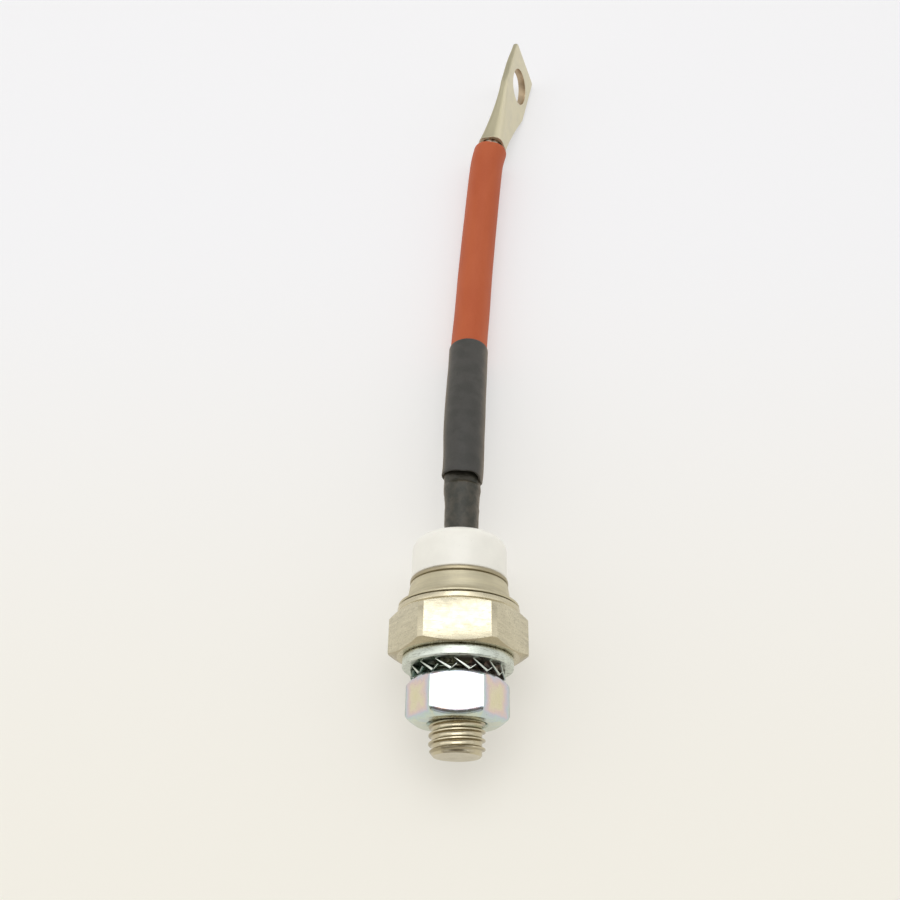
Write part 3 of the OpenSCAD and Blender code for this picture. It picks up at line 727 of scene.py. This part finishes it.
def add_cap_flange():
    low, high = extent("cap_flange")
    r = high.x
    bm = turned([(low.y, BAND_BORE_R, 0), (low.y, r - 0.15, 0), (low.y + 0.12, r, 0.1),
                 (high.y - 0.25, r, 0.3), (high.y, r - 0.4, 0.1), (high.y, BAND_BORE_R, 0)])
    piece("lip_ring", bm, [LIP_ALLOY], ["cap_flange"])


def add_ceramic():
    low, high = extent("ceramic_insulator")
    r, bore, wide_bore, crown = high.x, 4.25, 7.5, high.y - 3.6
    bm = turned([(low.y, wide_bore, 0), (low.y, r, 0.35), (high.y, r, 3.0), (high.y, bore, 0.2),
                 (crown, bore, 0), (crown, wide_bore, 0)])
    piece("ceramic_body", bm, [CERAMIC], ["ceramic_insulator"])


def add_ferrule():
    low, high = extent("top_ferrule")
    bore, wall, rim = 3.6, 4.15, high.x
    lip = high.y - 0.5
    bm = turned([(low.y, bore, 0), (low.y, wall, 0), (lip, wall, 0), (lip, rim, 0.15),
                 (high.y, rim, 0.2), (high.y, bore, 0.1)])
    piece("lead_ferrule", bm, [FERRULE_ALLOY], ["top_ferrule"])


# Bore of both washers, and slope of the nut's chamfer
WASHER_BORE_R = 6.5
NUT_SLOPE = tan(radians(30))


def add_plain_washer():
    low, high = extent("plain_washer")
    r, edge, wear = high.x, 0.5, 0.05
    bm = turned([(low.y, WASHER_BORE_R, 0.15), (low.y, r, 0.4), (high.y, r, 0.5),
                 (high.y, WASHER_BORE_R, 0.3)], steps=160)
    for vert in bm.verts:
        if off_axis(vert) > r - edge:
            turn = atan2(vert.co.z, vert.co.x)
            lift = noise.noise(Vector((cos(turn) * 3, sin(turn) * 3, vert.co.y * 2)))
            vert.co.x -= wear * lift * cos(turn)
            vert.co.z -= wear * lift * sin(turn)
    piece("plain_washer_disc", bm, [ZINC_BURRED], ["plain_washer"])


def add_lock_washer():
    """A flat ring with twisted teeth that have brighter zinc at their ends, each with a burr at its corner.
    """
    outer_r = extent("lock_washer")[1].x
    washer_low = extent("plain_washer")[0].y
    nut_top = extent("hex_nut")[1].y
    middle = (washer_low + nut_top) / 2
    sheet, ring_r, edge, bore = 0.55, 8.3, 0.1, WASHER_BORE_R
    teeth, stations, length, neck = 16, 5, 4.2, 0.76
    twist, phase = radians(38), radians(-5.4)
    burr_length, burr_sheet, burr_width, burr_inset, burr_rise = 1.6, 0.16, 0.5, 0.62, radians(38)
    bright_end_width = 0.45
    root = ring_r - 0.5
    reach = outer_r - root
    bm = turned([(middle - sheet / 2, bore, edge), (middle - sheet / 2, ring_r, edge),
                 (middle + sheet / 2, ring_r, edge), (middle + sheet / 2, bore, edge)], steps=96)
    for k in range(teeth):
        before = len(bm.verts)
        tooth = bmesh.ops.create_cube(bm, size=1)["verts"]
        bmesh.ops.scale(bm, vec=(length, sheet, reach), verts=tooth)
        bmesh.ops.translate(bm, vec=(0, 0, reach / 2), verts=tooth)
        edges = list({e for v in tooth for e in v.link_edges if abs(e.verts[0].co.z - e.verts[1].co.z) > 0.1})
        bmesh.ops.subdivide_edges(bm, edges=edges, cuts=stations)
        bm.verts.ensure_lookup_table()
        verts = bm.verts[before:]
        for vert in verts:
            out = vert.co.z / reach
            narrow = mix(neck, 1.0, smooth(out * 1.6))
            spin = twist * smooth(out * 1.5)
            x, y = vert.co.x * narrow, vert.co.y
            vert.co.x = x * cos(spin) + y * sin(spin)
            vert.co.y = -x * sin(spin) + y * cos(spin)
        bmesh.ops.translate(bm, vec=(0, middle, root), verts=verts)
        burr = bmesh.ops.create_cube(bm, size=1)["verts"]
        bmesh.ops.scale(bm, vec=(burr_length, burr_sheet, burr_width), verts=burr)
        bmesh.ops.translate(bm, vec=(burr_length / 2, 0, 0), verts=burr)
        bmesh.ops.rotate(bm, cent=(0, 0, 0), matrix=Matrix.Rotation(burr_rise, 3, "Z"), verts=burr)
        bmesh.ops.translate(bm, vec=(length / 2 * cos(twist), middle - length / 2 * sin(twist),
                                     outer_r - burr_inset), verts=burr)
        verts += burr
        turn = (k + 0.5) * TURN / teeth + phase
        bmesh.ops.rotate(bm, cent=(0, 0, 0), matrix=Matrix.Rotation(turn, 3, "Y"), verts=verts)
        # Faces at the teeth's outer ends get the brighter zinc.
        for face in {f for v in verts for f in v.link_faces}:
            if all(off_axis(v) > outer_r - bright_end_width for v in face.verts):
                face.material_index = 1
    bearing, gap = 0.95 * extent("hex_nut")[1].z, 0.03
    for vert in bm.verts:
        nut_face = nut_top - max(0.0, off_axis(vert) - bearing) * NUT_SLOPE
        vert.co.y = max(nut_face + gap, min(washer_low - gap, vert.co.y))
        keep_within(vert, outer_r)
    piece("lock_washer_fan", bm, [ZINC_DARK, ZINC], ["lock_washer"], eased=(0.06, 50))


def add_nut():
    low, high = extent("hex_nut")
    apothem, corner = high.z, high.z / cos(pi / 6)
    bearing = 0.93 * apothem
    rise = (corner - bearing) * NUT_SLOPE
    bore, sink, clear = 6.05, 0.5, 0.01
    bm = turned([
        (low.y, bore + sink, 0.05), (low.y, bearing, 0.2), (low.y + rise, corner + clear, 0),
        (high.y - rise, corner + clear, 0), (high.y, bearing, 0.2), (high.y, bore + sink, 0.05),
        (high.y - sink, bore, 0), (low.y + sink, bore, 0)], steps=144)
    cut_flats(bm, apothem)
    middle = (low.y + high.y) / 2
    wear_below, wear_above = 0.72, 0.5
    for way, offset in ((-1, wear_below), (1, wear_above)):
        bm.normal_update()
        worn = [e for e in bm.edges if len(e.link_faces) == 2 and way * (e.verts[0].co.y - middle) > 0
                and min(abs(f.normal.y) for f in e.link_faces) < 0.05
                and max(way * f.normal.y for f in e.link_faces) > 0.5]
        bmesh.ops.bevel(bm, geom=worn, offset=offset, offset_type="OFFSET", affect="EDGES", segments=7,
                        profile=0.5, material=-1, clamp_overlap=True)
    piece("zinc_nut", bm, [NUT_ZINC], ["hex_nut"], eased=(0.42, 20, 4), sharp_from=40)


def lay_along_lead(bm, shape):
    """Bends a piece that was made straight along Y onto the lead; shape gives each point's place."""
    lay = bm.verts.layers.float_vector.new("lay")
    for vert in bm.verts:
        run, turn, radius = vert.co.y, atan2(vert.co.z, vert.co.x), off_axis(vert)
        vert[lay] = (run, turn, radius)
        across, upward, run = shape(run, turn, radius)
        point, side, up = lead_frame(run)
        vert.co = point + side * across + up * upward


def tube_outline(start, end, outer, wall, lip, step=0.9):
    """Closed outline of a tube's wall, with rounded lips and enough rings to bend."""
    rings = max(2, round((end - start) / step))
    heights = [mix(start, end, i / rings) for i in range(1, rings)]
    inner = outer - wall
    return ([(start, inner, 0), (start, outer, lip)] + [(h, outer, 0) for h in heights]
            + [(end, outer, lip), (end, inner, 0)] + [(h, inner, 0) for h in reversed(heights)])


def lumps(run, turn, size, seed):
    return noise.noise(Vector((cos(turn) * 1.3, sin(turn) * 1.3, run / size)) + Vector((seed, 0, 0)))


def add_inner_sleeve():
    start = extent("inner_sleeve")[0].y - ROUTE_FROM.y
    bm = turned(tube_outline(start, run_to(INNER_TO), outer=3.9, wall=0.3, lip=0.12, step=0.5), steps=64)

    def shape(run, turn, radius):
        bulge = 0.36 * near(run, 2.6, 5.5) + 0.12 * near(run, -4, 5)
        right = 0.22 * near(run, 2.2, 4.5) * max(0.0, cos(turn))
        wrinkle = 0.13 * lumps(run, turn, 2.2, 3) + 0.06 * lumps(run, turn * 3, 0.9, 7)
        r = radius + bulge + right + wrinkle * smooth((run - start) / 3)
        aside = 0.33 * (1 - smooth((run - 1) / 6))
        broad = mix(1, 1.08, smooth((run - 3) / 3))
        crease = mix(1, 0.75, smooth((run - 2.7) / 0.5))
        upward = r * sin(turn)
        return r * cos(turn) * broad + aside, upward * (crease if upward > 0 else 1), run
    lay_along_lead(bm, shape)
    return piece("inner_sleeve_skin", bm, [BLACK_INNER], ["inner_sleeve"], sharp_from=50)


def add_outer_sleeve():
    start, end = run_to(OUTER_FROM), run_to(OUTER_TO)
    bm = turned(tube_outline(start, end, outer=5.08, wall=0.42, lip=0.19), steps=80)

    def shape(run, turn, radius):
        slack = -0.16 * smooth((start + 16 - run) / 12)
        mouth = 1 - smooth((run - start) / 6)
        right, left = max(0.0, cos(turn)) ** 2, max(0.0, -cos(turn)) ** 2
        droop = mouth * (0.4 * max(0.0, sin(turn)) + 0.45 * right + 0.25 * left
                         - 0.6 * near(turn, radians(52), radians(40)))
        lap = mouth * near(turn, radians(12), radians(24))
        r = radius + slack + 0.05 * lumps(run, turn, 7, 11) - 0.15 * lap
        return r * cos(turn), r * sin(turn) + 0.3 * mouth, run - droop - 0.4 * lap
    lay_along_lead(bm, shape)
    return piece("outer_sleeve_skin", bm, [BLACK_OUTER], ["outer_sleeve"], sharp_from=50)


def add_red_sleeve():
    start, end = run_to(RED_FROM), run_to(RED_TO)
    bm = turned(tube_outline(start, end, outer=4.75, wall=1.3, lip=0.45, step=1.6), steps=80)

    def shape(run, turn, radius):
        mouth = near(run, end, 6)
        flare = mouth * (0.3 * max(0.0, cos(turn)) ** 3 - 0.12 * max(0.0, -cos(turn)) ** 3)
        r = radius + 0.05 * lumps(run, turn, 16, 5) + flare
        reach = 1.1 * mouth * near(turn, radians(25), radians(65))
        return r * cos(turn), r * sin(turn), run + reach
    lay_along_lead(bm, shape)
    return piece("red_sleeve_skin", bm, [RED], ["red_sleeve"], sharp_from=50)


def round_section(bm, radius):
    """A ring of vertices round the Y axis."""
    section = bmesh.ops.create_circle(bm, segments=96, radius=radius)["verts"]
    bmesh.ops.rotate(bm, verts=section, cent=(0, 0, 0), matrix=Matrix.Rotation(pi / 2, 3, "X"))
    return section


def extrude_rim(bm, rim):
    """Extrudes an open rim, and gives the new rim's edges and vertices, not yet moved."""
    made = bmesh.ops.extrude_edge_only(bm, edges=rim)["geom"]
    return ([g for g in made if isinstance(g, bmesh.types.BMEdge) and len(g.link_faces) == 1],
            [g for g in made if isinstance(g, bmesh.types.BMVert)])


def add_rope():
    """Eight twisted bundles as one tube with a lobed section, inside the sleeves and in the lug."""
    in_crimp, in_lug, crimped_r, path_steps = 6.0, 1.0, 2.75, 60
    start, end = -in_crimp, run_to(LUG_MOUTH) + in_lug
    bundles, lay_length, lobe, rings = 8, 46.0, 0.34, 190
    bm = bmesh.new()
    section = round_section(bm, ROPE_D / 2)
    bmesh.ops.translate(bm, verts=section, vec=(0, start, 0))
    bmesh.ops.edgeloop_fill(bm, edges=bm.edges[:])
    rim = bm.edges[:]
    for _ in range(rings):
        rim, moved = extrude_rim(bm, rim)
        bmesh.ops.translate(bm, vec=(0, (end - start) / rings, 0), verts=moved)
    bmesh.ops.edgeloop_fill(bm, edges=rim)

    def shape(run, turn, radius):
        twist = turn * bundles + run / lay_length * TURN * bundles / 2
        valley = abs(cos(twist / 2)) ** 0.8
        r = radius * (0.93 if run < 0.5 else 1.0) - lobe * (1 - valley) * smooth((run - 1) / 3)
        if run < 0:
            r = min(r, crimped_r)
        upward = r * sin(turn)
        if upward > 0:
            upward *= mix(1, 0.62, smooth((run - 1.5) / 1.5) * (1 - smooth((run - 14) / 6)))
        return r * cos(turn), upward, run
    lay_along_lead(bm, shape)
    face_outwards(bm)
    rope = piece("rope_strands", bm, [STRANDS], ["lead_rope"], sharp_from=60)
    runs = [mix(start, end, i / path_steps) for i in range(path_steps + 1)]
    return rope, [tuple(lead_frame(run)[0] * MM) for run in runs]


def lug_frame():
    """Where the lug sits: its mouth on the lead, its heading, its climb and its lean."""
    turn = Matrix.Rotation(LUG_HEADING, 3, "Z") @ Matrix.Rotation(LUG_CLIMB, 3, "X")
    turn = turn @ Matrix.Rotation(LUG_LEAN, 3, "Y")
    return Matrix.Translation(on_route(LUG_MOUTH)) @ turn.to_4x4()


def box_ring(thickness, width, round_r, arc=16, side=7):
    """Points (across, along the width) round a rounded rectangle, from the middle of its side."""
    half_t, half_w = thickness / 2 - round_r, width / 2 - round_r
    corners = ((1, 1), (-1, 1), (-1, -1), (1, -1))

    def on_corner(k, degrees):
        x_sign, z_sign = corners[k % 4]
        turn = radians(degrees)
        return x_sign * half_t + round_r * cos(turn), z_sign * half_w + round_r * sin(turn)

    ring = []
    for k in range(4):
        ring += [on_corner(k, 90 * k + 90 * i / arc) for i in range(arc + 1)]
        last, ahead = ring[-1], on_corner(k + 1, 90 * k + 90)
        ring += [tuple(mix(a, b, i / (side + 1)) for a, b in zip(last, ahead)) for i in range(1, side + 1)]
    middle = side // 2 + 1
    return ring[-middle:] + ring[:-middle]


def add_lug():
    """A tube pressed flat: round bore at the mouth, then a palm with the hole for the bolt."""
    barrel, palm_t, palm_w, hole_at, palm_end = 7.6, 2.3, 16.1, 24.3, 10.2
    hole_r, bore_r, bore_depth, press_gap, palm_shift = 5.25, 3.3, 3.0, 1.05, 0.5
    barrel_round, edge_round, corner, pinch, pinch_length = 2.6, 0.7, 0.6, 0.6, 9
    barrel_rows, palm_rows = 24, 8
    end = hole_at + palm_end
    flat_from = hole_at - hole_r - press_gap
    heights = [flat_from * i / barrel_rows for i in range(barrel_rows + 1)]
    heights += [mix(flat_from, end - corner, i / palm_rows) for i in range(1, palm_rows + 1)]
    heights += [end - corner * (1 - sin(radians(a))) for a in (20, 40, 60, 75, 90)]
    bm = bmesh.new()
    side = bm.verts.layers.float.new("side")
    rows = [round_section(bm, 1)]
    mouth = rim = bm.edges[:]
    for _ in heights[1:]:
        rim, row = extrude_rim(bm, rim)
        rows.append(row)
    bmesh.ops.edgeloop_fill(bm, edges=rim)
    lip_rim, lip = extrude_rim(bm, mouth)
    floor_rim, floor = extrude_rim(bm, lip_rim)
    bmesh.ops.edgeloop_fill(bm, edges=floor_rim)
    bmesh.ops.scale(bm, vec=(bore_r, 1, bore_r), verts=lip + floor)
    # The bore narrows towards its floor, and turns away from the pressed side
    bmesh.ops.scale(bm, vec=(0.7, 1, 0.85), verts=floor)
    bmesh.ops.translate(bm, vec=(0.6, bore_depth, 0), verts=floor)
    for height, row in zip(heights, rows):
        pressed = min(1.0, height / flat_from)
        thickness = mix(palm_t, barrel, (1 - pressed) ** 1.3)
        width = mix(barrel, palm_w, pressed ** 1.45)
        tip = max(0.0, height - (end - corner))
        eased = 2 * (corner - sqrt(max(0.0, corner * corner - tip * tip)))
        thickness -= pinch * smooth((height - end + pinch_length) / pinch_length)
        across, along = barrel / 2 - thickness / 2, palm_shift * (1 - (1 - pressed) ** 2)
        thickness -= 0.6 * eased
        width -= eased
        round_r = min(mix(barrel_round, edge_round, pressed), thickness / 2 - 0.01)
        ring = box_ring(thickness, width, round_r)
        side_from = width / 2 - round_r
        ordered = sorted(row, key=lambda v: atan2(v.co.z, v.co.x) % TURN)
        for vert, (x, z) in zip(ordered, ring):
            vert.co = (x + across, height, z + along)
            # How far each point lies on the lug's rounded sides, where the tin gets painted shade.
            vert[side] = smooth((abs(z) - side_from) / round_r * 2.4 - 1.4)
    face_outwards(bm)
    bmesh.ops.transform(bm, matrix=lug_frame(), verts=bm.verts[:])
    lug = piece("pressed_lug", bm, [TIN, BORE_METAL], ["cable_lug"], sharp_from=35)
    drill = bmesh.new()
    bmesh.ops.create_cone(drill, cap_ends=True, segments=96, radius1=hole_r, radius2=hole_r, depth=12)
    hole_place = Matrix.Translation((barrel / 2 - palm_t / 2, hole_at, palm_shift))
    bmesh.ops.transform(drill, verts=drill.verts[:],
                        matrix=lug_frame() @ hole_place @ Matrix.Rotation(pi / 2, 4, "Y"))
    for face in drill.faces:
        face.material_index = 1
    cutter = as_object("drill", drill, [TIN, BORE_METAL])
    drilled = lug.modifiers.new("hole", "BOOLEAN")
    drilled.object = cutter
    drilled.solver = "EXACT"
    ease_edges(lug, 0.18, 50)
    bpy.data.objects.remove(cutter)
    shade(lug, 35)
    return lug


# Sealed inner pieces keep their solids and get their own finishes
INNER_FINISHES = {
    "copper": (("crimp_tube", "contact_stamp", "inner_braid"), (0.72, 0.4, 0.26), (0.25, 0.4), 1.0),
    "molybdenum": (("lower_disc", "upper_disc"), (0.42, 0.42, 0.44), (0.3, 0.45), 1.0),
    "silicon": (("silicon_wafer",), (0.16, 0.18, 0.22), (0.08, 0.16), 0.6),
    "silicone_rubber": (("passivation_ring",), (0.5, 0.12, 0.08), (0.45, 0.6), 0.0),
    "mica": (("insulating_washer",), (0.6, 0.52, 0.36), (0.35, 0.5), 0.0),
    "spring_steel": (("thrust_washer", "disc_spring_1", "disc_spring_2", "disc_spring_3", "retaining_ring"),
                     (0.3, 0.3, 0.32), (0.28, 0.42), 1.0),
    "white_plastic": (("centring_sleeve",), (0.82, 0.82, 0.8), (0.4, 0.55), 0.0),
}


def finish_inner_pieces():
    for name, (nodes, colour, rough, metallic) in INNER_FINISHES.items():
        made = plain_stuff(name, colour, rough, metallic)
        for node in nodes:
            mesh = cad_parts[node].data
            mesh.materials.clear()
            mesh.materials.append(made)


# Floor and light

FLOOR_LEVEL = -13.5
FLOOR_HALF_SIZE = 1600
GLOW_SHARE = 0.45
# Where the dark front of the lens stands, seen from the object
LENS_WAY = Vector((0.02, -0.45, 0.89)).normalized()


def floor_material():
    """White, warmer towards the front, and partly glowing for the camera and for reflections."""
    def build(t):
        _, y, _ = t.split(t.place())
        return {"Base Color": t.blend(t.remap(y, 130, -60), (0.97, 0.97, 0.98), (0.97, 0.945, 0.87))}
    made = new_material("floor", build, Roughness=0.8, Specular_IOR_Level=0.2)
    t = Tree(made.node_tree)
    rays = t.node("ShaderNodeLightPath").outputs
    seen = t.larger(t.larger(rays["Is Camera Ray"], rays["Is Glossy Ray"]), rays["Is Transmission Ray"])
    _, y, _ = t.split(t.place())
    white = t.blend(t.remap(y, 150, -50), (0.93, 0.93, 0.95), (0.93, 0.9, 0.81))
    glow = t.node("ShaderNodeEmission", {"Color": white}).outputs[0]
    mixed = t.node("ShaderNodeMixShader", {0: t.times(seen, GLOW_SHARE), 2: glow,
                                           1: made.node_tree.nodes["Principled BSDF"].outputs[0]}).outputs[0]
    made.node_tree.links.new(mixed, made.node_tree.nodes["Material Output"].inputs["Surface"])
    return made


def add_floor():
    bm = bmesh.new()
    bmesh.ops.create_grid(bm, x_segments=1, y_segments=1, size=FLOOR_HALF_SIZE)
    bmesh.ops.translate(bm, vec=(0, 0, FLOOR_LEVEL), verts=bm.verts[:])
    floor = as_object("floor", bm, [floor_material()])


def add_light(name, place, target, size, power, colour=(1, 1, 1)):
    lamp = bpy.data.lights.new(name, "AREA")
    lamp.shape = "RECTANGLE"
    lamp.size, lamp.size_y = size
    lamp.energy = power
    lamp.color = colour
    made = placed(name, lamp)
    made.location = place
    made.rotation_euler = (Vector(target) - Vector(place)).to_track_quat("-Z", "Y").to_euler()


def set_world():
    """A pale room with a bright canopy overhead, a darker low front and the dark front of the lens."""
    world = bpy.data.worlds.new("studio")
    bpy.context.scene.world = world
    world.use_nodes = True
    t = Tree(world.node_tree)
    background = world.node_tree.nodes["Background"]
    way = t.node("ShaderNodeTexCoord").outputs["Generated"]
    _, y, z = t.split(way)
    room = t.ramp(t.remap(z, -0.2, 0.9), [(0.0, (0.8, 0.78, 0.73)), (0.3, (0.95, 0.94, 0.91)),
                                          (1.0, (0.62, 0.62, 0.63))])
    low_front = t.times(t.remap(y, -0.35, -0.95), t.remap(z, 0.6, 0.1))
    toward = t.node("ShaderNodeVectorMath", {0: way, 1: tuple(LENS_WAY)}, operation="DOT_PRODUCT")
    lens = t.remap(toward.outputs["Value"], 0.81, 0.9)
    canopy = t.times(t.times(t.remap(y, -0.03, 0.06), t.remap(y, 0.3, 0.25)), t.remap(z, 0.0, 0.25))
    dark = t.larger(t.times(low_front, 0.6), t.times(lens, 0.85))
    dark_room = t.blend(dark, room, (0.13, 0.095, 0.055))
    lit_room = t.blend(canopy, dark_room, (1.34, 1.33, 1.3))
    rays = t.node("ShaderNodeLightPath").outputs
    world.node_tree.links.new(t.blend(rays["Is Camera Ray"], lit_room, (1.1, 1.09, 1.06)),
                              background.inputs["Color"])
    background.inputs["Strength"].default_value = 0.85


add_camera()
rope, rope_path = add_rope()
add_base()
add_stud()
add_housing_ring()
add_cap_flange()
add_ceramic()
add_ferrule()
add_plain_washer()
add_lock_washer()
add_nut()
inner_sleeve = add_inner_sleeve()
outer_sleeve = add_outer_sleeve()
red_sleeve = add_red_sleeve()
lug = add_lug()
finish_inner_pieces()

add_floor()
add_light("ceiling", (0.0, 0.24, 0.85), (0, 0.03, 0), (1.6, 0.8), 1.85)
add_light("key", (0.0, 0.3, 0.8), (0, 0.01, 0), (0.64, 0.4), 1.2)
add_light("window", (-0.75, 0.0, 0.45), (0, 0.06, 0), (0.5, 0.6), 0.35, (1.0, 0.99, 0.97))
set_world()
bpy.context.scene.view_settings.view_transform = "Standard"
